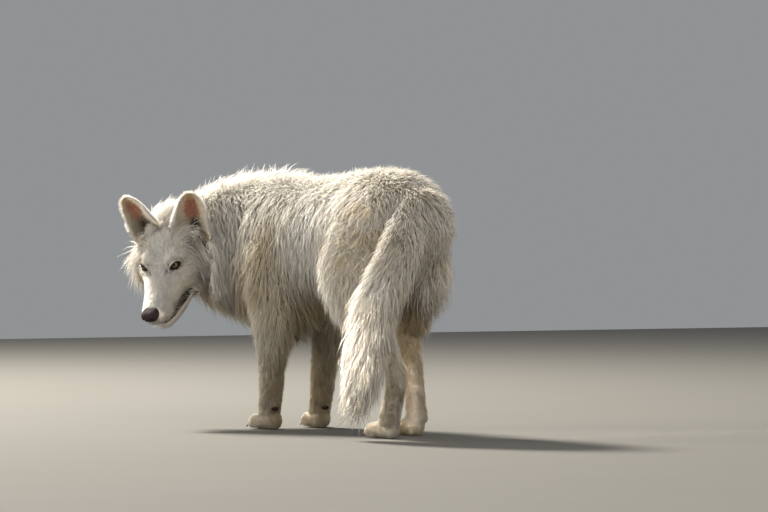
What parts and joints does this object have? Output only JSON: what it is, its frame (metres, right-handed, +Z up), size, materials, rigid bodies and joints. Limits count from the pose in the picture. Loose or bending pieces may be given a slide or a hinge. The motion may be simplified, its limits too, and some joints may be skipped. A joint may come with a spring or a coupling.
{
  "type": "arctic wolf",
  "caption": "Life-size white arctic wolf in winter coat, standing with its head lowered and turned to look back over its left side; a still model to stand on the floor.",
  "frame": {"origin": "middle of the whole wolf's bounding box, on the floor", "axes": "+Z up, -Y the way the trunk faces, +X to the wolf's left"},
  "size_m": [0.5214, 1.1428, 0.7106],
  "materials": {
    "coat": "long creamy white fur, tan on the haunch and flanks",
    "leg_coat": "short cream to grey-beige fur",
    "tail_coat": "long cream fur, grey smudge near the root, tan along one edge",
    "ear": "fine fur outside, thin-haired pinkish skin inside",
    "nose_leather": "dark grained nose leather and lips, slightly moist",
    "eye": "amber iris, black pupil, wet and glossy",
    "claw": "dark horn, satin",
    "mouth": "dark red gums and tongue, moist"
  },
  "bodies": {
    "root": {"trunk": "coat", "neck": "coat", "head": "coat", "lower_jaw": "coat", "tail": "tail_coat", "ear_left": "ear", "ear_right": "ear", "eye_left": "eye", "eye_right": "eye", "nose": "nose_leather", "foreleg_left_upper": "leg_coat", "foreleg_left_lower": "leg_coat", "forepaw_left": "leg_coat", "foreclaw_left_1": "claw", "foreclaw_left_2": "claw", "foreclaw_left_3": "claw", "foreclaw_left_4": "claw", "foreleg_right_upper": "leg_coat", "foreleg_right_lower": "leg_coat", "forepaw_right": "leg_coat", "foreclaw_right_1": "claw", "foreclaw_right_2": "claw", "foreclaw_right_3": "claw", "foreclaw_right_4": "claw", "hindleg_left_upper": "leg_coat", "hindleg_left_lower": "leg_coat", "hindpaw_left": "leg_coat", "hindclaw_left_1": "claw", "hindclaw_left_2": "claw", "hindclaw_left_3": "claw", "hindclaw_left_4": "claw", "hindleg_right_upper": "leg_coat", "hindleg_right_lower": "leg_coat", "hindpaw_right": "leg_coat", "hindclaw_right_1": "claw", "hindclaw_right_2": "claw", "hindclaw_right_3": "claw", "hindclaw_right_4": "claw"}
  },
  "joints": []
}
